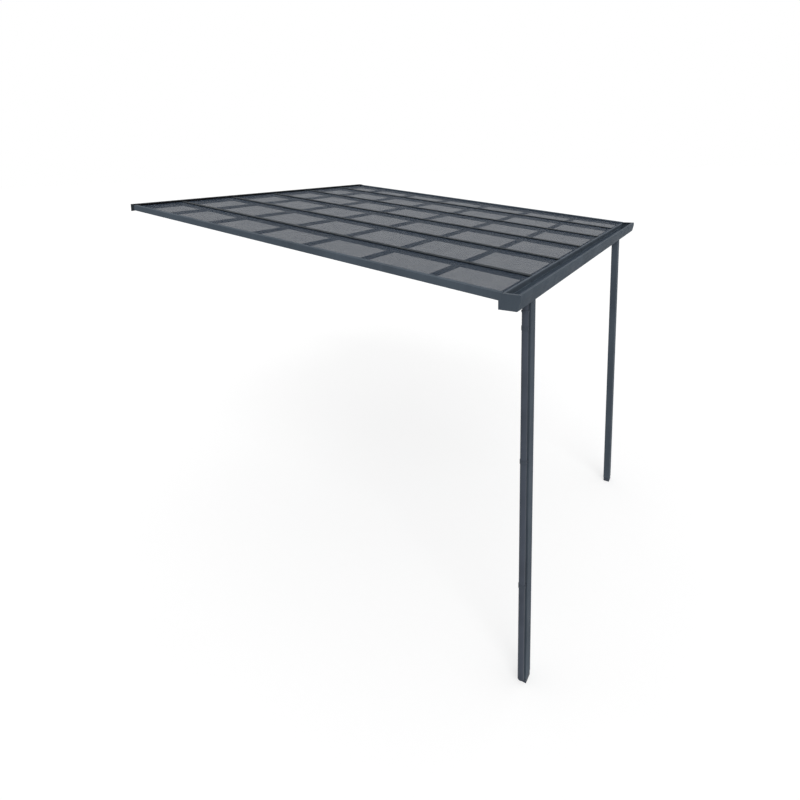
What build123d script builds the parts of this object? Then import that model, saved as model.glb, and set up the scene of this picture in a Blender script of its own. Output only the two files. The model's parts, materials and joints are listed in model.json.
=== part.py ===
from build123d import *
import math
import os

# Lean-to patio cover of aluminium profiles with tinted roof sheets.
# The wall carries the high edge, two posts carry the gutter at the low edge.
# X runs along the wall, +Y points into the wall, Z is up, and the origin is
# the middle of the flat back face of the wall bar.

# Overall size
cover_width = 4001.0
projection = 4000.0
clear_height = 2800.0
roof_fall = 6.84
joint_gap = 0.3

# Roof sheets, middle rafters and the caps that clamp the sheets
sheet_thickness = 4.0
sheet_edge_gap = 5.0
rafter_count = 5
end_bay = 594.5
rafter_width = 50.0
rafter_depth = 32.0
rafter_wall = 2.0
stem_width = 10.0
screw_slot = 4.0
screw_slot_depth = 9.0
cap_width = 46.0
cap_height = 8.0
cap_wall = 1.8
cap_fin = 1.5
cap_corner = 1.2
seal_width = 7.0
seal_height = 3.0

# Side rafters: upright web, seat below the sheet and nose above it
side_web = 20.0
side_seat = 44.0
side_nose = 40.0
side_rise = 15.0
side_wall = 2.2
side_corner = 2.5

# Purlins below the sheets
purlin_count = 6
first_purlin = 510.0
last_purlin = 652.5
purlin_width = 28.0
purlin_depth = 25.0
purlin_wall = 1.6

# Wall bar
bar_height = 70.0
bar_wall = 2.5
bar_drop = 15.0
hood_depth = 36.0
wall_seal_depth = 12.0
shelf_depth = 58.0
shelf_height = 24.0
bolt_radius = 4.5
bolt_count = 8
bolt_inset = 250.5
bolt_edge = 9.0

# Gutter
gutter_width = 140.0
gutter_back = 52.0
gutter_front = 98.0
gutter_floor = 124.0
gutter_fold = 65.0
gutter_wall = 2.0
gutter_ledge = 20.0
rim_lip = 20.0
rim_drop = 6.0
end_plate = 3.0
end_lip = 5.0
end_corner = 12.0
end_flange = 25.0

# Bars below the low end of the sheets and the trim around that end
eaves_depth = 36.0
eaves_wall = 1.6
trim_top = 14.0
trim_drop = 6.0
trim_wall = 1.6

# Posts
post_width = 90.0
post_depth = 60.0
post_wall = 2.5
post_corner = 3.0
post_setback = 25.0
left_post_inset = 318.0
right_post_inset = 800.0
foot_height = 38.0
foot_inset = 1.5
foot_wall = 4.0
head_plate = 4.0
plug_length = 45.0
anchor_radius = 6.0

# Rainwater outlet, downpipe and its clips
pipe_radius = 21.5
pipe_wall = 1.6
pipe_standoff = 4.0
pipe_ground_gap = 50.0
pipe_top_drop = 58.0
collar_height = 12.0
collar_wall = 3.2
outlet_insert = 30.0
outlet_flange = 3.0
flange_thickness = 1.5
clip_count = 3
clip_height = 28.0
clip_wall = 2.2
clip_base = 3.0
clip_base_width = 54.0
lowest_clip = 783.0
top_clip_drop = 177.0

# Levels and places that follow from the sizes above
fall = math.radians(roof_fall)
half_width = cover_width / 2
gutter_back_y = -(projection - gutter_width)
floor_front_y = gutter_back_y - gutter_floor
end_front_y = floor_front_y + end_lip * (floor_front_y + projection) / gutter_fold
low_end_y = gutter_back_y - gutter_ledge
rafter_end_y = low_end_y + trim_wall + joint_gap
trim_back_y = low_end_y + trim_top
trim_lip_y = low_end_y + trim_wall
cap_end_y = trim_back_y + joint_gap
eaves_back_y = rafter_end_y + eaves_depth
rafter_under_z = clear_height + gutter_back - gutter_back_y * math.tan(fall)
ground_z = -(rafter_under_z - bar_drop + bar_height / 2)
gutter_z = ground_z + clear_height
seat_z = ground_z + rafter_under_z + rafter_depth / math.cos(fall)
bar_bottom_z = -bar_height / 2
bar_top_z = bar_height / 2
stem_top = sheet_thickness + cap_height - cap_wall
rafter_pitch = (cover_width - 2 * end_bay) / (rafter_count - 1)
rafter_xs = [-half_width + end_bay + i * rafter_pitch for i in range(rafter_count)]
purlin_pitch = (projection - first_purlin - last_purlin) / (purlin_count - 1)
bolt_spacing = (cover_width - 2 * bolt_inset) / (bolt_count - 1)
post_y = -projection + post_setback + post_depth / 2
left_post_x = -half_width + left_post_inset
right_post_x = half_width - right_post_inset
post_side_x = left_post_x - post_width / 2
pipe_x = post_side_x - pipe_standoff - pipe_radius
outlet_radius = pipe_radius - pipe_wall - joint_gap
clip_pitch = (clear_height - top_clip_drop - lowest_clip) / (clip_count - 1)
slope_length = projection / math.cos(fall) + rafter_depth
rafter_start = -shelf_depth - joint_gap


# A plane across the roof's fall, normal pointing down the slope, with its
# origin on the underside of the sheets at the wall
def cross_plane(x=0.0):
    return Plane(
        origin=(x, 0, seat_z),
        x_dir=(1, 0, 0),
        z_dir=(0, -math.cos(fall), -math.sin(fall)),
    )


# Cut both ends of a sloping piece upright, between two distances from the wall
def trim_ends(near_y, far_y):
    split(bisect_by=Plane(origin=(0, near_y, 0), z_dir=(0, -1, 0)), keep=Keep.TOP)
    split(bisect_by=Plane(origin=(0, far_y, 0), z_dir=(0, 1, 0)), keep=Keep.TOP)


# Height of a line square above the underside of the sheets
def above_seat(y, rise):
    return seat_z + y * math.tan(fall) + rise / math.cos(fall)


# Height of the underside of the sheets at a distance from the wall
def seat_at(y):
    return above_seat(y, 0)


# Height of the hood's upper face at a distance from the wall
def hood_at(y):
    return bar_top_z + y * math.tan(fall)


# A rectangle between two corners of the sketch in use
def corner_box(low, high, mode=Mode.ADD):
    with Locations(((low[0] + high[0]) / 2, (low[1] + high[1]) / 2)):
        Rectangle(high[0] - low[0], high[1] - low[1], mode=mode)


def save(piece, name):
    piece.label = name
    export_step(piece, f"parts/{name}.step")


os.makedirs("parts", exist_ok=True)

# Wall bar: back plate, hood over the sheets and a hollow shelf below them
plate_mid = -bar_wall / 2
shelf_lip_y = -shelf_depth + bar_wall
with BuildPart() as wall_bar:
    with BuildSketch(Plane.YZ.offset(-half_width + end_plate)):
        corner_box((-bar_wall, bar_bottom_z), (0, bar_top_z))
        with BuildLine():
            Polyline(
                (plate_mid, hood_at(plate_mid)),
                (-hood_depth, hood_at(-hood_depth)),
                (-hood_depth, hood_at(-hood_depth) - bar_wall),
                (plate_mid, hood_at(plate_mid) - bar_wall),
                close=True,
            )
        make_face()
        with BuildLine():
            Polyline(
                (plate_mid, seat_at(plate_mid)),
                (-shelf_depth, seat_at(-shelf_depth)),
                (-shelf_depth, seat_at(-shelf_depth) - shelf_height),
                (plate_mid, seat_at(plate_mid) - shelf_height),
                close=True,
            )
        make_face()
        with BuildLine():
            Polyline(
                (-bar_wall, seat_at(-bar_wall) - bar_wall),
                (shelf_lip_y, seat_at(shelf_lip_y) - bar_wall),
                (shelf_lip_y, seat_at(shelf_lip_y) - shelf_height + bar_wall),
                (-bar_wall, seat_at(-bar_wall) - shelf_height + bar_wall),
                close=True,
            )
        make_face(mode=Mode.SUBTRACT)
    extrude(amount=cover_width - 2 * end_plate)
    with Locations(Plane(origin=(0, 0, bar_bottom_z + bolt_edge), x_dir=(1, 0, 0), z_dir=(0, 1, 0))):
        with GridLocations(bolt_spacing, 1, bolt_count, 1):
            Cylinder(bolt_radius, 2 * shelf_depth, mode=Mode.SUBTRACT)
save(wall_bar.part, "wall_bar")

# Plates that close the two ends of the wall bar
with BuildPart() as left_wall_bar_end:
    with BuildSketch(Plane.YZ.offset(-half_width)):
        with BuildLine():
            Polyline(
                (0, bar_bottom_z),
                (0, bar_top_z),
                (-shelf_depth, hood_at(-shelf_depth)),
                (-shelf_depth, seat_at(-shelf_depth) - shelf_height),
                (-shelf_height, bar_bottom_z),
                close=True,
            )
        make_face()
    extrude(amount=end_plate)
save(left_wall_bar_end.part, "left_wall_bar_end")
with BuildPart() as right_wall_bar_end:
    mirror(left_wall_bar_end.part, about=Plane.YZ)
save(right_wall_bar_end.part, "right_wall_bar_end")

# Rubber seal between the hood and the sheets
with BuildPart() as wall_seal:
    with BuildSketch(Plane.YZ.offset(-half_width + end_plate + joint_gap)):
        seal_back_y = -hood_depth + wall_seal_depth
        with BuildLine():
            Polyline(
                (-hood_depth, above_seat(-hood_depth, sheet_thickness)),
                (-hood_depth, hood_at(-hood_depth) - bar_wall),
                (seal_back_y, hood_at(seal_back_y) - bar_wall),
                (seal_back_y, above_seat(seal_back_y, sheet_thickness)),
                close=True,
            )
        make_face()
    extrude(amount=cover_width - 2 * end_plate - 2 * joint_gap)
save(wall_seal.part, "wall_seal")

# Middle rafters: hollow box with a slotted stem between the sheets for the cap
for number, x in enumerate(rafter_xs, start=1):
    with BuildPart() as rafter:
        with BuildSketch(cross_plane(x)):
            corner_box((-stem_width / 2, 0), (stem_width / 2, stem_top))
            corner_box(
                (-screw_slot / 2, stem_top - screw_slot_depth),
                (screw_slot / 2, stem_top),
                mode=Mode.SUBTRACT,
            )
        extrude(amount=slope_length)
        trim_ends(rafter_start, cap_end_y)
        with BuildSketch(cross_plane(x)):
            half = rafter_width / 2
            corner_box((-half, -rafter_depth), (half, 0))
            corner_box(
                (-half + rafter_wall, -rafter_depth + rafter_wall),
                (half - rafter_wall, -rafter_wall),
                mode=Mode.SUBTRACT,
            )
        extrude(amount=slope_length)
        trim_ends(rafter_start, rafter_end_y)
    save(rafter.part, f"rafter_{number}")

# Caps over the middle rafters: a plate with an edge foot over each seal and
# two fins that grip the stem
for number, x in enumerate(rafter_xs, start=1):
    with BuildPart() as cap:
        with BuildSketch(cross_plane(x)) as cap_section:
            foot_z = sheet_thickness + seal_height
            top_z = sheet_thickness + cap_height
            half = cap_width / 2
            fin_in = stem_width / 2 + joint_gap
            corner_box((-half, foot_z), (half, top_z))
            fillet(cap_section.vertices().group_by(Axis.Y)[-1], cap_corner)
            corner_box((-half + seal_width, foot_z), (half - seal_width, stem_top), mode=Mode.SUBTRACT)
            for side in (-1, 1):
                with Locations((side * (fin_in + cap_fin / 2), (foot_z + stem_top) / 2)):
                    Rectangle(cap_fin, stem_top - foot_z)
        extrude(amount=slope_length)
        trim_ends(-hood_depth - joint_gap, cap_end_y)
    save(cap.part, f"cap_{number}")

# Rubber seals that the caps and the side rafters' noses press on the sheets
seal_xs = [-half_width + side_nose - seal_width / 2]
for x in rafter_xs:
    seal_xs += [x - (cap_width - seal_width) / 2, x + (cap_width - seal_width) / 2]
seal_xs.append(half_width - side_nose + seal_width / 2)
with BuildPart() as sheet_seals:
    with BuildSketch(cross_plane()):
        with Locations([(x, sheet_thickness + seal_height / 2) for x in seal_xs]):
            Rectangle(seal_width, seal_height)
    extrude(amount=slope_length)
    trim_ends(rafter_start, cap_end_y)
save(sheet_seals.part, "sheet_seals")

# Side rafters: one profile with three chambers, around the edge of the sheet
side_outline = [
    (0, -rafter_depth),
    (side_seat, -rafter_depth),
    (side_seat, 0),
    (side_web, 0),
    (side_web, sheet_thickness + seal_height),
    (side_nose, sheet_thickness + seal_height),
    (side_nose, sheet_thickness + side_rise),
    (0, sheet_thickness + side_rise),
]
with BuildPart() as left_side_rafter:
    with BuildSketch(cross_plane(-half_width)) as side_section:
        with BuildLine():
            Polyline(*side_outline, close=True)
        make_face()
        fillet(side_section.vertices().group_by(Axis.Y)[-1], side_corner)
        corner_box(
            (side_wall, -rafter_depth + side_wall),
            (side_web - side_wall, sheet_thickness + side_rise - side_wall),
            mode=Mode.SUBTRACT,
        )
        corner_box(
            (side_web, -rafter_depth + side_wall),
            (side_seat - side_wall, -side_wall),
            mode=Mode.SUBTRACT,
        )
        corner_box(
            (side_web, sheet_thickness + seal_height + side_wall),
            (side_nose - side_wall, sheet_thickness + side_rise - side_wall),
            mode=Mode.SUBTRACT,
        )
    extrude(amount=slope_length)
    trim_ends(rafter_start, rafter_end_y)
save(left_side_rafter.part, "left_side_rafter")
with BuildPart() as right_side_rafter:
    mirror(left_side_rafter.part, about=Plane.YZ)
save(right_side_rafter.part, "right_side_rafter")

# Roof sheets between the stems and the webs of the side rafters
sheet_edges = [-half_width + side_web + joint_gap]
for x in rafter_xs:
    sheet_edges += [x - stem_width / 2 - joint_gap, x + stem_width / 2 + joint_gap]
sheet_edges.append(half_width - side_web - joint_gap)
for number in range(rafter_count + 1):
    with BuildPart() as sheet:
        with BuildSketch(cross_plane()):
            corner_box((sheet_edges[2 * number], 0), (sheet_edges[2 * number + 1], sheet_thickness))
        extrude(amount=slope_length)
        trim_ends(-bar_wall - sheet_edge_gap, rafter_end_y)
    save(sheet.part, f"roof_sheet_{number + 1}")

# Purlins: hollow bars between the rafters, against the underside of the sheets
bay_edges = [-half_width + side_seat + joint_gap]
for x in rafter_xs:
    bay_edges += [x - rafter_width / 2 - joint_gap, x + rafter_width / 2 + joint_gap]
bay_edges.append(half_width - side_seat - joint_gap)
for number in range(purlin_count):
    y = -first_purlin - number * purlin_pitch
    half = purlin_width / 2
    with BuildPart() as purlin:
        for bay in range(rafter_count + 1):
            section = Plane(
                origin=(bay_edges[2 * bay], y, seat_at(y)),
                x_dir=(0, math.cos(fall), math.sin(fall)),
                z_dir=(1, 0, 0),
            )
            with BuildSketch(section):
                corner_box((-half, -purlin_depth), (half, 0))
                corner_box(
                    (-half + purlin_wall, -purlin_depth + purlin_wall),
                    (half - purlin_wall, -purlin_wall),
                    mode=Mode.SUBTRACT,
                )
            extrude(amount=bay_edges[2 * bay + 1] - bay_edges[2 * bay])
    save(purlin.part, f"purlin_{number + 1}")

# Gutter: open channel with a sloping ledge for the rafters and a folded front
ledge_drop = gutter_ledge * math.tan(fall)
with BuildPart() as gutter:
    with BuildSketch(Plane.YZ.offset(-half_width + end_plate)):
        with BuildLine():
            Polyline(
                (low_end_y, gutter_z + gutter_back - ledge_drop),
                (gutter_back_y, gutter_z + gutter_back),
                (gutter_back_y, gutter_z),
                (floor_front_y, gutter_z),
                (-projection, gutter_z + gutter_fold),
                (-projection, gutter_z + gutter_front),
                (-projection + rim_lip, gutter_z + gutter_front),
                (-projection + rim_lip, gutter_z + gutter_front - rim_drop),
            )
            offset(amount=gutter_wall, side=Side.RIGHT, kind=Kind.INTERSECTION)
        make_face()
    extrude(amount=cover_width - 2 * end_plate)
    with Locations((pipe_x, post_y, gutter_z)):
        Cylinder(outlet_radius + joint_gap, gutter_back, mode=Mode.SUBTRACT)
save(gutter.part, "gutter")

# Plates that close the gutter's ends below the side rafters, each with the
# gutter's folded front and a flange inwards over the end of the channel
with BuildPart() as left_gutter_end:
    with BuildSketch(Plane.YZ.offset(-half_width)) as end_section:
        with BuildLine():
            Polyline(
                (gutter_back_y, gutter_z - end_lip),
                (gutter_back_y, gutter_z + gutter_back),
                (low_end_y, gutter_z + gutter_back - ledge_drop),
                (low_end_y, gutter_z + gutter_front),
                (-projection, gutter_z + gutter_front),
                (-projection, gutter_z + gutter_fold),
                (end_front_y, gutter_z - end_lip),
                close=True,
            )
        make_face()
        fillet(end_section.vertices().group_by(Axis.Y)[0].sort_by(Axis.X)[0], end_corner)
    extrude(amount=end_plate)
    with BuildSketch(Plane.YZ.offset(-half_width)):
        corner_box(
            (-projection + rim_lip + joint_gap, gutter_z + gutter_front - gutter_wall),
            (low_end_y, gutter_z + gutter_front),
        )
    extrude(amount=end_plate + end_flange)
save(left_gutter_end.part, "left_gutter_end")
with BuildPart() as right_gutter_end:
    mirror(left_gutter_end.part, about=Plane.YZ)
save(right_gutter_end.part, "right_gutter_end")

# Bars between the rafters on the gutter's ledge, below the low end of the sheets
with BuildPart() as eaves_bars:
    for bay in range(rafter_count + 1):
        with BuildSketch(Plane.YZ.offset(bay_edges[2 * bay])):
            for inset, mode in ((0, Mode.ADD), (eaves_wall, Mode.SUBTRACT)):
                front_y = rafter_end_y + inset
                back_y = eaves_back_y - inset
                with BuildLine():
                    Polyline(
                        (front_y, above_seat(front_y, -inset)),
                        (back_y, above_seat(back_y, -inset)),
                        (back_y, above_seat(back_y, inset - rafter_depth)),
                        (front_y, above_seat(front_y, inset - rafter_depth)),
                        close=True,
                    )
                make_face(mode=mode)
        extrude(amount=bay_edges[2 * bay + 1] - bay_edges[2 * bay])
save(eaves_bars.part, "eaves_bars")

# Trim folded around the low end of the sheets
with BuildPart() as sheet_trim:
    with BuildSketch(Plane.YZ.offset(bay_edges[0])):
        with BuildLine():
            Polyline(
                (trim_back_y, above_seat(trim_back_y, sheet_thickness)),
                (trim_lip_y, above_seat(trim_lip_y, sheet_thickness)),
                (trim_lip_y, above_seat(trim_lip_y, -trim_drop)),
                (low_end_y, above_seat(low_end_y, -trim_drop)),
                (low_end_y, above_seat(low_end_y, sheet_thickness + trim_wall)),
                (trim_back_y, above_seat(trim_back_y, sheet_thickness + trim_wall)),
                close=True,
            )
        make_face()
    extrude(amount=bay_edges[-1] - bay_edges[0])
save(sheet_trim.part, "sheet_trims")

# Plates that close the low ends of the rafters
cover_top = -trim_drop - joint_gap
with BuildPart() as rafter_end_covers:
    with BuildSketch(cross_plane(-half_width)):
        with BuildLine():
            Polyline(*side_outline, close=True)
        make_face()
    extrude(amount=slope_length)
    mirror(about=Plane.YZ)
    with BuildSketch(cross_plane()):
        for x in rafter_xs:
            corner_box((x - rafter_width / 2, -rafter_depth), (x + rafter_width / 2, cover_top))
    extrude(amount=slope_length)
    trim_ends(trim_lip_y, low_end_y)
save(rafter_end_covers.part, "rafter_end_covers")

# Posts, each with a foot and a head whose plugs stand inside the post
for name, x in (("left", left_post_x), ("right", right_post_x)):
    inner_width = post_width - 2 * post_wall
    inner_depth = post_depth - 2 * post_wall
    plug_width = inner_width - 2 * joint_gap
    plug_depth = inner_depth - 2 * joint_gap
    with BuildPart() as post:
        with BuildSketch(Plane.XY.offset(ground_z + foot_height)):
            with Locations((x, post_y)):
                RectangleRounded(post_width, post_depth, post_corner)
                Rectangle(inner_width, inner_depth, mode=Mode.SUBTRACT)
        extrude(amount=clear_height - foot_height - head_plate)
    save(post.part, f"{name}_post")
    with BuildPart() as foot:
        with BuildSketch(Plane.XY.offset(ground_z)):
            with Locations((x, post_y)):
                RectangleRounded(post_width - 2 * foot_inset, post_depth - 2 * foot_inset, post_corner)
        extrude(amount=foot_height)
        with BuildSketch(Plane.XY.offset(ground_z + foot_height)):
            with Locations((x, post_y)):
                Rectangle(plug_width, plug_depth)
        extrude(amount=plug_length)
        with BuildSketch(Plane.XY.offset(ground_z + foot_wall)):
            with Locations((x, post_y)):
                Rectangle(plug_width - 2 * foot_wall, plug_depth - 2 * foot_wall)
        extrude(amount=foot_height + plug_length, mode=Mode.SUBTRACT)
        with Locations((x, post_y, ground_z)):
            Cylinder(anchor_radius, foot_height, mode=Mode.SUBTRACT)
    save(foot.part, f"{name}_post_foot")
    with BuildPart() as head:
        with BuildSketch(Plane.XY.offset(gutter_z - head_plate)):
            with Locations((x, post_y)):
                RectangleRounded(post_width, post_depth, post_corner)
        extrude(amount=head_plate)
        with BuildSketch(Plane.XY.offset(gutter_z - head_plate - plug_length)):
            with Locations((x, post_y)):
                Rectangle(plug_width, plug_depth)
                Rectangle(plug_width - 2 * foot_wall, plug_depth - 2 * foot_wall, mode=Mode.SUBTRACT)
        extrude(amount=plug_length)
    save(head.part, f"{name}_post_head")

# Outlet: a flanged spigot through the gutter floor into the downpipe
with BuildPart() as outlet:
    with BuildSketch(Plane.XY.offset(gutter_z - pipe_top_drop - outlet_insert)):
        with Locations((pipe_x, post_y)):
            Circle(outlet_radius)
    extrude(amount=pipe_top_drop + outlet_insert + gutter_wall)
    with BuildSketch(Plane.XY.offset(gutter_z + gutter_wall)):
        with Locations((pipe_x, post_y)):
            Circle(outlet_radius + outlet_flange)
    extrude(amount=flange_thickness)
    with Locations((pipe_x, post_y, gutter_z)):
        Cylinder(outlet_radius - pipe_wall, 2 * clear_height, mode=Mode.SUBTRACT)
save(outlet.part, "gutter_outlet")

# Downpipe with a collar around its upper end
pipe_length = clear_height - pipe_top_drop - pipe_ground_gap
with BuildPart() as downpipe:
    with BuildSketch(Plane.XY.offset(ground_z + pipe_ground_gap)):
        with Locations((pipe_x, post_y)):
            Circle(pipe_radius)
    extrude(amount=pipe_length)
    with BuildSketch(Plane.XY.offset(gutter_z - pipe_top_drop - collar_height)):
        with Locations((pipe_x, post_y)):
            Circle(pipe_radius + collar_wall)
    extrude(amount=collar_height)
    with Locations((pipe_x, post_y, ground_z)):
        Cylinder(pipe_radius - pipe_wall, 2 * clear_height, mode=Mode.SUBTRACT)
save(downpipe.part, "downpipe")

# Clips: a ring around the downpipe on a base plate against the post
with BuildPart() as pipe_clips:
    for number in range(clip_count):
        level = lowest_clip + number * clip_pitch - clip_height / 2
        with BuildSketch(Plane.XY.offset(ground_z + level)):
            with Locations((pipe_x, post_y)):
                Circle(pipe_radius + joint_gap + clip_wall)
            with Locations((post_side_x - clip_base / 2, post_y)):
                Rectangle(clip_base, clip_base_width)
            with Locations((pipe_x, post_y)):
                Circle(pipe_radius + joint_gap, mode=Mode.SUBTRACT)
        extrude(amount=clip_height)
save(pipe_clips.part, "pipe_clips")
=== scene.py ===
import json
import math

import bmesh
import bpy
from mathutils import Euler, Matrix, Vector


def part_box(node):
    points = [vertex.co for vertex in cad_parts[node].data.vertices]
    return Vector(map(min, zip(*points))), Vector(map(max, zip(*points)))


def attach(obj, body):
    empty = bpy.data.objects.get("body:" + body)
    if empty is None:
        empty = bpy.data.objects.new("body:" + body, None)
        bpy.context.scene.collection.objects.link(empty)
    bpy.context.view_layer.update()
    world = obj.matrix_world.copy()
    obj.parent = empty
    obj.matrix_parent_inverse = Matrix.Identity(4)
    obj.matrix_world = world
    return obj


# Lean-to patio cover: coats, tinted sheets, screws, floor, light and camera
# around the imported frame. Lengths are in metres, lens and sensor in millimetres.
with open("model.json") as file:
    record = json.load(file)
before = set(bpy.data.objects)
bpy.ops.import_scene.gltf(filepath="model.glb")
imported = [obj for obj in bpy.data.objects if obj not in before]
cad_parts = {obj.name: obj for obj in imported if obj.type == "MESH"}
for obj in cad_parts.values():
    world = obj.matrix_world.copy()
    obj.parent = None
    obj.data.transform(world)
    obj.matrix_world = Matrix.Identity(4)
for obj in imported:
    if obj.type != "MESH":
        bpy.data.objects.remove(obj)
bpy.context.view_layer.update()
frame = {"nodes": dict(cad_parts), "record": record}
scene = bpy.context.scene

# Camera at the photograph's viewing angle. The yaw counts from X towards Y, and
# the roll takes back most of the lean that the downward tilt gives the posts.
camera_place = (-5.0422, -5.0262, 0.3685)
camera_yaw = math.radians(35.84)
camera_pitch = math.radians(-8.18)
camera_roll = math.radians(-1.88)
camera_shift = (0.052, -0.2)
focal_length = 24.0
sensor_width = 36
view_range = (0.05, 400)

# Light on the object, and how bright the world and the floor themselves look
world_strength = 0.7
world_seen_strength = 1.0
floor_glow = 0.6
sun_strength = 0.95
sun_spread = math.radians(35)
sun_direction = (-0.62, -0.48, 0.62)

# Floor, wide enough to fill every view
floor_half_size = 150
floor_segments = 8
floor_greys = ((0.5, 0.5, 0.5), (0.52, 0.52, 0.52))

# Linear colours of coats, sheets, rubber, plastic and steel, and the share of what
# lies behind them that the sheets hide
frame_colour = (0.080, 0.100, 0.124)
cap_colour = (0.020, 0.026, 0.032)
trim_colour = (0.095, 0.115, 0.140)
sheet_colour = (0.038, 0.053, 0.077)
rubber_colour = (0.006, 0.006, 0.007)
pipe_colour = (0.068, 0.080, 0.104)
fitting_colour = (0.062, 0.074, 0.094)
dust_colour = (0.22, 0.22, 0.21)
steel_colours = ((0.28, 0.29, 0.3), (0.42, 0.43, 0.44))
sheet_cover = 0.66

# Painted light in the gutter's channel: a paler coat that stands in for light on
# its shaded inside, from none to full between two heights above the gutter's
# underside, and between two depths behind its front
painted_light_heights = (0.095, 0.05)
painted_light_depths = (0.035, 0.045)

# Most values of a noise texture lie in this range
usual_noise = (0.3, 0.7)

# Screws of the wall bar: count, spacing and height above its low edge
wall_screw_count = 8
wall_screw_spacing = 0.5
wall_screw_rise = 0.009
back_plate_thickness = 0.0025

# Screws of the clips, on each side of the pipe's middle
clip_height = 0.028
clip_base_thickness = 0.003
clip_screw_offset = 0.0225

# Screws of the posts, counted from the ends of the tubes
post_screw_inset = 0.022
post_screw_radius = 0.0042
post_screw_height = 0.0016

# Screws of the end plates, as distances along Y and Z: from the front or low
# edge where positive, from the back or high edge where negative
gutter_end_screws = ((0.016, -0.012), (0.055, 0.018), (-0.012, 0.018))
bar_end_screws = ((-0.012, -0.016), (-0.012, 0.014), (0.01, 0.035))

# Edges of a screw that bend by more than this stay sharp
crease_angle = math.radians(40)

# The photo shows these nodes as dark as the caps
dark_nodes = {"wall_bar", "left_wall_bar_end", "right_wall_bar_end"}


def scaled(colour, factor, lift=0.0):
    return tuple(part * factor + lift for part in colour)


# A material with one principled shader
def new_material(name):
    material = bpy.data.materials.new(name)
    material.use_nodes = True
    tree = material.node_tree
    tree.nodes.clear()
    output = tree.nodes.new("ShaderNodeOutputMaterial")
    shader = tree.nodes.new("ShaderNodeBsdfPrincipled")
    tree.links.new(shader.outputs["BSDF"], output.inputs["Surface"])
    return material, tree, shader


# Object coordinates in metres, multiplied by a factor for each axis
def place_on_object(tree, factors=(1, 1, 1)):
    coordinates = tree.nodes.new("ShaderNodeTexCoord")
    mapping = tree.nodes.new("ShaderNodeMapping")
    mapping.inputs["Scale"].default_value = factors
    tree.links.new(coordinates.outputs["Object"], mapping.inputs["Vector"])
    return mapping.outputs["Vector"]


def split_vector(tree, vector):
    split = tree.nodes.new("ShaderNodeSeparateXYZ")
    tree.links.new(vector, split.inputs["Vector"])
    return split.outputs


# How far the surface looks up: 1 on a level top, 0 on an upright face, -1 on an underside
def upwardness(tree):
    geometry = tree.nodes.new("ShaderNodeNewGeometry")
    return split_vector(tree, geometry.outputs["Normal"])["Z"]


def noise(tree, place, scale, detail, roughness=0.5):
    texture = tree.nodes.new("ShaderNodeTexNoise")
    texture.inputs["Scale"].default_value = scale
    texture.inputs["Detail"].default_value = detail
    texture.inputs["Roughness"].default_value = roughness
    tree.links.new(place, texture.inputs["Vector"])
    return texture.outputs["Fac"]


# A value moved from one range to another and held at both ends
def remap(tree, value, source, target=(0, 1)):
    ranges = tree.nodes.new("ShaderNodeMapRange")
    ranges.inputs["From Min"].default_value = source[0]
    ranges.inputs["From Max"].default_value = source[1]
    ranges.inputs["To Min"].default_value = target[0]
    ranges.inputs["To Max"].default_value = target[1]
    tree.links.new(value, ranges.inputs["Value"])
    return ranges.outputs["Result"]


def combine(tree, operation, first, second):
    result = tree.nodes.new("ShaderNodeMath")
    result.operation = operation
    tree.links.new(first, result.inputs[0])
    tree.links.new(second, result.inputs[1])
    return result.outputs["Value"]


# 1 for light rays of the named kinds, 0 for all others
def ray_kinds(tree, first, *others):
    rays = tree.nodes.new("ShaderNodeLightPath").outputs
    seen = rays[first]
    for other in others:
        seen = combine(tree, "MAXIMUM", seen, rays[other])
    return seen


# Two colours, each a plain colour or a socket, and the amount of the second one
def mix_colours(tree, amount, first, second):
    mix = tree.nodes.new("ShaderNodeMix")
    mix.data_type = "RGBA"
    colour_inputs = [socket for socket in mix.inputs if socket.type == "RGBA"]
    for socket, value in zip(colour_inputs, (first, second)):
        if isinstance(value, bpy.types.NodeSocket):
            tree.links.new(value, socket)
        else:
            socket.default_value = (*value, 1)
    tree.links.new(amount, mix.inputs["Factor"])
    return next(socket for socket in mix.outputs if socket.type == "RGBA")


def bump(tree, height, distance, strength, normal=None):
    node = tree.nodes.new("ShaderNodeBump")
    node.inputs["Strength"].default_value = strength
    node.inputs["Distance"].default_value = distance
    tree.links.new(height, node.inputs["Height"])
    if normal is not None:
        tree.links.new(normal, node.inputs["Normal"])
    return node.outputs["Normal"]


# Powder coat on aluminium: fine orange peel, slow change of shade, faint
# streaks that rain leaves and a little pale dust on faces that look up
def powder_coat(name, colour, dust=0.12, roughness=0.56):
    material, tree, shader = new_material(name)
    place = place_on_object(tree)
    shade = remap(tree, noise(tree, place, scale=2.3, detail=4.0, roughness=0.55), usual_noise)
    base = mix_colours(tree, shade, scaled(colour, 0.86), scaled(colour, 1.14))
    streaks = noise(tree, place_on_object(tree, (26, 26, 1.1)), scale=1.0, detail=2.0)
    streaked = remap(tree, streaks, (0.56, 0.78), (0, 0.14))
    base = mix_colours(tree, streaked, base, scaled(colour, 1.5, 0.02))
    grains = noise(tree, place, scale=38.0, detail=5.0, roughness=0.7)
    dusty = remap(tree, grains, (0.42, 0.75), (0, dust))
    dusty = combine(tree, "MULTIPLY", remap(tree, upwardness(tree), (0.75, 1.0)), dusty)
    tree.links.new(mix_colours(tree, dusty, base, dust_colour), shader.inputs["Base Color"])
    dullness = noise(tree, place, scale=9.0, detail=4.0)
    dullness = remap(tree, dullness, usual_noise, (roughness - 0.06, roughness + 0.08))
    tree.links.new(dullness, shader.inputs["Roughness"])
    shader.inputs["Specular IOR Level"].default_value = 0.02
    peel = noise(tree, place, scale=900.0, detail=2.0)
    waves = noise(tree, place, scale=160.0, detail=1.0)
    normal = bump(tree, peel, distance=0.00006, strength=0.5)
    normal = bump(tree, waves, distance=0.0001, strength=0.25, normal=normal)
    tree.links.new(normal, shader.inputs["Normal"])
    return material
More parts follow.
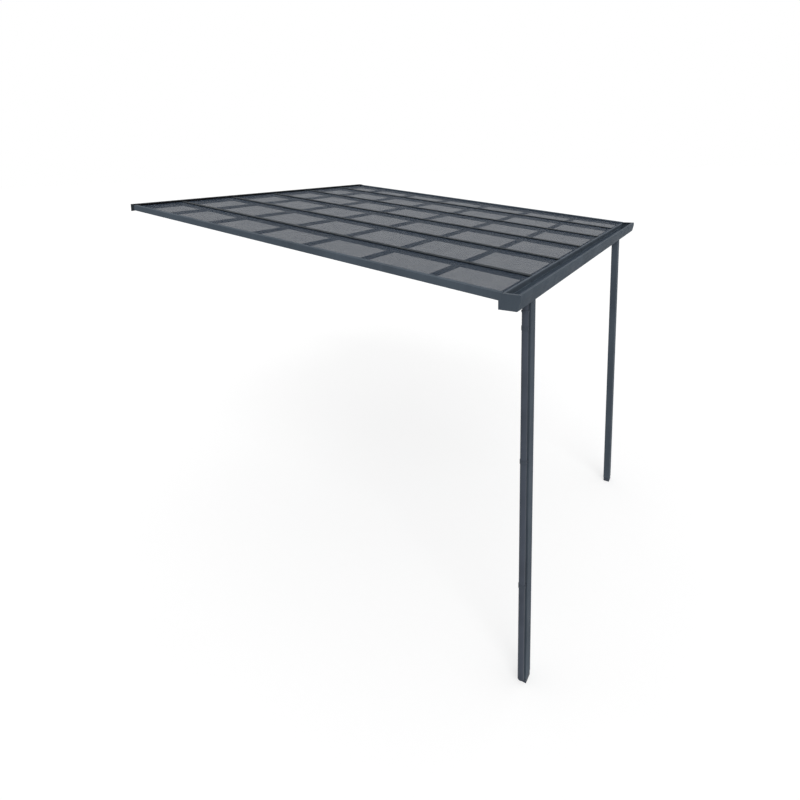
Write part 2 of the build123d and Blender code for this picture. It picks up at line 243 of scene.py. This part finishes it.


# Powder coat of the gutter with painted light: inside its channel the coat is
# painted paler, strongest near the floor, to stand in for light on its shaded inside
def channel_coat_painted_light(name, colour, underside_z, front_y):
    material = powder_coat(name, colour)
    tree = material.node_tree
    shader = tree.nodes["Principled BSDF"]
    coat = shader.inputs["Base Color"].links[0].from_socket
    place = split_vector(tree, place_on_object(tree))
    near_floor = remap(tree, place["Z"], [underside_z + height for height in painted_light_heights])
    behind_front = remap(tree, place["Y"], [front_y + depth for depth in painted_light_depths])
    not_below = remap(tree, upwardness(tree), (-0.8, -0.5))
    painted_light_variation = noise(tree, place_on_object(tree, (3, 3, 40)), scale=1.0, detail=3.0, roughness=0.6)
    # Painted light: the shaded inside of the channel is mixed towards a paler copy of the coat
    painted_light = combine(tree, "MULTIPLY", near_floor, behind_front)
    painted_light = combine(tree, "MULTIPLY", painted_light, not_below)
    painted_light = combine(tree, "MULTIPLY", painted_light, remap(tree, painted_light_variation, usual_noise, (0.7, 1.0)))
    tree.links.new(mix_colours(tree, painted_light, coat, scaled(colour, 2.3)), shader.inputs["Base Color"])
    return material


# Tinted clear sheet: smooth, slightly wavy, with faint water marks
def tinted_sheet(name, colour, cover):
    material, tree, shader = new_material(name)
    place = place_on_object(tree)
    marks = noise(tree, place, scale=5.0, detail=2.0)
    marked = remap(tree, marks, (0.45, 0.75), (0, 0.2))
    base = mix_colours(tree, marked, colour, scaled(colour, 1.35, 0.01))
    tree.links.new(base, shader.inputs["Base Color"])
    dullness = remap(tree, noise(tree, place, scale=9.0, detail=2.0), (0.35, 0.75), (0.38, 0.5))
    tree.links.new(dullness, shader.inputs["Roughness"])
    opacity = remap(tree, marks, (0.3, 0.8), (cover - 0.008, cover + 0.016))
    tree.links.new(opacity, shader.inputs["Alpha"])
    shader.inputs["Specular IOR Level"].default_value = 0.02
    waves = noise(tree, place_on_object(tree, (1, 0.25, 1)), scale=5.0, detail=2.0, roughness=0.4)
    tree.links.new(bump(tree, waves, distance=0.001, strength=0.08), shader.inputs["Normal"])
    return material


# Rubber: near black, matt, ribbed along the roof's fall, with a pale bloom in patches
def seal_rubber(name, colour):
    material, tree, shader = new_material(name)
    bloom = noise(tree, place_on_object(tree), scale=30.0, detail=5.0, roughness=0.6)
    bloomed = remap(tree, bloom, (0.5, 0.8), (0, 0.5))
    base = mix_colours(tree, bloomed, colour, scaled(colour, 2.4))
    tree.links.new(base, shader.inputs["Base Color"])
    tree.links.new(remap(tree, bloom, usual_noise, (0.62, 0.8)), shader.inputs["Roughness"])
    shader.inputs["Specular IOR Level"].default_value = 0.04
    ribs = noise(tree, place_on_object(tree, (1, 0.02, 1)), scale=700.0, detail=1.0)
    tree.links.new(bump(tree, ribs, distance=0.0002, strength=0.4), shader.inputs["Normal"])
    return material


# Plastic: even colour, light scuffs and faint flow marks, which run along the axis
# that has a small factor
def plastic(name, colour, roughness, flow_factors):
    material, tree, shader = new_material(name)
    shade = noise(tree, place_on_object(tree), scale=5.0, detail=4.0)
    shaded = remap(tree, shade, usual_noise)
    base = mix_colours(tree, shaded, scaled(colour, 0.88), scaled(colour, 1.12))
    scuffs = noise(tree, place_on_object(tree, (40, 40, 3)), scale=1.0, detail=4.0, roughness=0.7)
    scuffed = remap(tree, scuffs, (0.6, 0.8), (0, 0.2))
    base = mix_colours(tree, scuffed, base, scaled(colour, 1.8, 0.02))
    tree.links.new(base, shader.inputs["Base Color"])
    dullness = remap(tree, shade, usual_noise, (roughness - 0.05, roughness + 0.06))
    tree.links.new(dullness, shader.inputs["Roughness"])
    shader.inputs["Specular IOR Level"].default_value = 0.08
    flow = noise(tree, place_on_object(tree, flow_factors), scale=60.0, detail=2.0)
    tree.links.new(bump(tree, flow, distance=0.0001, strength=0.35), shader.inputs["Normal"])
    return material


# Zinc-plated steel of the wall screws
def plated_steel(name):
    material, tree, shader = new_material(name)
    patches = noise(tree, place_on_object(tree), scale=220.0, detail=4.0, roughness=0.6)
    base = mix_colours(tree, remap(tree, patches, (0.35, 0.7)), *steel_colours)
    tree.links.new(base, shader.inputs["Base Color"])
    shader.inputs["Metallic"].default_value = 1.0
    tree.links.new(remap(tree, patches, usual_noise, (0.3, 0.48)), shader.inputs["Roughness"])
    tree.links.new(bump(tree, patches, distance=0.00005, strength=0.3), shader.inputs["Normal"])
    return material


# Every CAD node gets the coat of its slot, apart from the gutter (with painted light) and the dark
# nodes
def dress_frame(coats, gutter_coat_painted_light):
    slots = {part["node"]: part["material_slot"] for part in frame["record"]["subparts"]}
    for name, node in frame["nodes"].items():
        coat = coats[slots[name]]
        if name == "gutter":
            coat = gutter_coat_painted_light
        elif name in dark_nodes:
            coat = coats["cap_coat"]
        node.data.materials.clear()
        node.data.materials.append(coat)


# A solid of revolution about the local Z axis
def lathe(mesh, profile, segments, place):
    rings = []
    for radius, height in profile:
        if radius == 0:
            rings.append([mesh.verts.new(place @ Vector((0, 0, height)))])
            continue
        ring = []
        for i in range(segments):
            angle = 2 * math.pi * i / segments
            point = Vector((radius * math.cos(angle), radius * math.sin(angle), height))
            ring.append(mesh.verts.new(place @ point))
        rings.append(ring)
    for lower, upper in zip(rings, rings[1:]):
        for i in range(segments):
            j = (i + 1) % segments
            corners = [lower[i % len(lower)], lower[j % len(lower)]]
            corners += [upper[j % len(upper)], upper[i % len(upper)]]
            unique = list(dict.fromkeys(corners))
            if len(unique) > 2:
                mesh.faces.new(unique)


# Hexagon screw with a pressed washer: the washer and shank, then the head
def hex_screw(mesh, place):
    half_flats = 0.0065
    head_height = 0.005
    washer = 0.0085
    washer_height = 0.0016
    shank = 0.0038
    depth = 0.0024
    flats = 6
    washer_segments = 28
    top = washer_height + head_height
    dish = washer_height + head_height * 0.8
    washer_profile = [
        (0, -depth), (shank, -depth), (shank, 0), (washer, 0), (washer, washer_height * 0.7),
        (washer * 0.93, washer_height), (half_flats * 0.6, washer_height), (0, washer_height),
    ]
    head_profile = [
        (half_flats * 1.13, washer_height), (half_flats * 1.15, washer_height + head_height * 0.85),
        (half_flats * 0.98, top), (half_flats * 0.55, top), (half_flats * 0.5, dish), (0, dish),
    ]
    lathe(mesh, washer_profile, washer_segments, place)
    lathe(mesh, head_profile, flats, place)


# Low round screw head: the shank and the outside, then the round socket
def pan_screw(mesh, place, radius=0.0035, height=0.0018):
    shank = 0.0016
    depth = 0.001
    segments = 24
    outer_profile = [
        (0, -depth), (shank, -depth), (shank, 0), (radius, 0), (radius, height * 0.3),
        (radius * 0.92, height * 0.68), (radius * 0.72, height * 0.94), (radius * 0.46, height),
    ]
    socket_profile = [(radius * 0.46, height), (radius * 0.42, height * 0.35), (0, height * 0.3)]
    lathe(mesh, outer_profile, segments, place)
    lathe(mesh, socket_profile, segments, place)


# One piece from a mesh, which rides on the only body
def make_piece(name, mesh, material):
    bmesh.ops.recalc_face_normals(mesh, faces=mesh.faces)
    data = bpy.data.meshes.new(name)
    mesh.to_mesh(data)
    mesh.free()
    for polygon in data.polygons:
        polygon.use_smooth = True
    data.materials.append(material)
    piece = bpy.data.objects.new(name, data)
    scene.collection.objects.link(piece)
    data.set_sharp_from_angle(angle=crease_angle)
    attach(piece, "root")


# A place on a face: the local Z axis points out of the face
def facing(point, normal):
    turn = Vector((0, 0, 1)).rotation_difference(Vector(normal)).to_matrix().to_4x4()
    return Matrix.Translation(point) @ turn


# Screws that hold the wall bar, one in each hole of its back plate
def make_wall_screws(material):
    low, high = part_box("wall_bar")
    face_y = high.y - back_plate_thickness
    first_x = (low.x + high.x - wall_screw_spacing * (wall_screw_count - 1)) / 2
    mesh = bmesh.new()
    for i in range(wall_screw_count):
        point = (first_x + wall_screw_spacing * i, face_y, low.z + wall_screw_rise)
        hex_screw(mesh, facing(point, (0, -1, 0)))
    make_piece("wall_screws", mesh, material)


# Two screws on each of the three clips
def make_clip_screws(material):
    low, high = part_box("pipe_clips")
    face_x = high.x - clip_base_thickness
    middle_y = (low.y + high.y) / 2
    lowest = low.z + clip_height / 2
    highest = high.z - clip_height / 2
    mesh = bmesh.new()
    for level in (lowest, (lowest + highest) / 2, highest):
        for side in (-1, 1):
            point = (face_x, middle_y + side * clip_screw_offset, level)
            pan_screw(mesh, facing(point, (-1, 0, 0)))
    make_piece("clip_screws", mesh, material)


# Screws through the post walls into the plugs of foot and head
def make_post_screws(material):
    mesh = bmesh.new()
    for name in ("left_post", "right_post"):
        low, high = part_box(name)
        middle_x = (low.x + high.x) / 2
        for level in (low.z + post_screw_inset, high.z - post_screw_inset):
            for face_y, normal in ((low.y, (0, -1, 0)), (high.y, (0, 1, 0))):
                place = facing((middle_x, face_y, level), normal)
                pan_screw(mesh, place, post_screw_radius, post_screw_height)
    make_piece("post_screws", mesh, material)


def from_edge(low, high, distance):
    return low + distance if distance > 0 else high + distance


# Screws of the plates on the ends of gutter and wall bar
def make_end_screws(material):
    plates = (
        ("left_gutter_end", -1, gutter_end_screws),
        ("right_gutter_end", 1, gutter_end_screws),
        ("left_wall_bar_end", -1, bar_end_screws),
        ("right_wall_bar_end", 1, bar_end_screws),
    )
    mesh = bmesh.new()
    for name, side, distances in plates:
        low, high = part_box(name)
        face_x = low.x if side < 0 else high.x
        for y, z in distances:
            point = (face_x, from_edge(low.y, high.y, y), from_edge(low.z, high.z, z))
            pan_screw(mesh, facing(point, (side, 0, 0)))
    make_piece("end_screws", mesh, material)


# Floor that keeps the object's shadow and looks white elsewhere
def make_floor():
    mesh = bmesh.new()
    bmesh.ops.create_grid(
        mesh, x_segments=floor_segments, y_segments=floor_segments, size=floor_half_size
    )
    data = bpy.data.meshes.new("floor")
    mesh.to_mesh(data)
    mesh.free()
    floor = bpy.data.objects.new("floor", data)
    floor.location = (0, 0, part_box("left_post_foot")[0].z)
    scene.collection.objects.link(floor)
    material, tree, shader = new_material("floor")
    tone = noise(tree, place_on_object(tree), scale=0.8, detail=2.0)
    tree.links.new(mix_colours(tree, tone, *floor_greys), shader.inputs["Base Color"])
    shader.inputs["Roughness"].default_value = 0.9
    shader.inputs["Specular IOR Level"].default_value = 0.0
    seen = ray_kinds(tree, "Is Camera Ray", "Is Glossy Ray")
    shader.inputs["Emission Color"].default_value = (1, 1, 1, 1)
    glow = remap(tree, seen, (0, 1), (0, floor_glow))
    tree.links.new(glow, shader.inputs["Emission Strength"])
    data.materials.append(material)


# World: soft even light, white where camera, gloss and clear sheets see it
def make_world():
    world = bpy.data.worlds.new("world")
    world.use_nodes = True
    scene.world = world
    tree = world.node_tree
    tree.nodes.clear()
    output = tree.nodes.new("ShaderNodeOutputWorld")
    background = tree.nodes.new("ShaderNodeBackground")
    background.inputs["Color"].default_value = (1, 1, 1, 1)
    seen = ray_kinds(tree, "Is Camera Ray", "Is Glossy Ray", "Is Transmission Ray")
    strength = remap(tree, seen, (0, 1), (world_strength, world_seen_strength))
    tree.links.new(strength, background.inputs["Strength"])
    tree.links.new(background.outputs["Background"], output.inputs["Surface"])


# Key light from the front left, broad enough for soft shadows
def make_key_light():
    data = bpy.data.lights.new("key", "SUN")
    data.energy = sun_strength
    data.angle = sun_spread
    sun = bpy.data.objects.new("key", data)
    sun.rotation_mode = "QUATERNION"
    sun.rotation_quaternion = Vector(sun_direction).to_track_quat("Z", "Y")
    scene.collection.objects.link(sun)


# A camera starts looking straight down, and a right angle lifts its view to level
def make_camera():
    right_angle = math.radians(90)
    data = bpy.data.cameras.new("camera")
    data.lens = focal_length
    data.sensor_width = sensor_width
    data.shift_x, data.shift_y = camera_shift
    data.clip_start, data.clip_end = view_range
    camera = bpy.data.objects.new("camera", data)
    camera.location = camera_place
    aim = Euler((right_angle + camera_pitch, 0, camera_yaw - right_angle)).to_matrix()
    camera.rotation_euler = (aim @ Matrix.Rotation(camera_roll, 3, "Z")).to_euler()
    scene.collection.objects.link(camera)
    scene.camera = camera


# Finishes by the record's slots, then the gutter's coat with painted light in its channel
coats = {
    "frame_coat": powder_coat("frame_coat", frame_colour),
    "cap_coat": powder_coat("cap_coat", cap_colour, dust=0.04, roughness=0.42),
    "end_coat": powder_coat("end_coat", scaled(frame_colour, 0.95), dust=0.08, roughness=0.42),
    "trim_coat": powder_coat("trim_coat", trim_colour, dust=0.05),
    "roof_sheet": tinted_sheet("roof_sheet", sheet_colour, sheet_cover),
    "seal_rubber": seal_rubber("seal_rubber", rubber_colour),
    "pipe_plastic": plastic("pipe_plastic", pipe_colour, 0.42, flow_factors=(1, 1, 0.03)),
    "fitting_plastic": plastic("fitting_plastic", fitting_colour, 0.5, flow_factors=(1, 1, 1)),
}
gutter_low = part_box("gutter")[0]
dress_frame(coats, channel_coat_painted_light("gutter_coat_painted_light", frame_colour, gutter_low.z, gutter_low.y))

make_wall_screws(plated_steel("plated_steel"))
make_clip_screws(coats["frame_coat"])
make_post_screws(coats["frame_coat"])
make_end_screws(coats["end_coat"])
make_floor()
make_world()
make_key_light()
make_camera()
scene.view_settings.view_transform = "Standard"
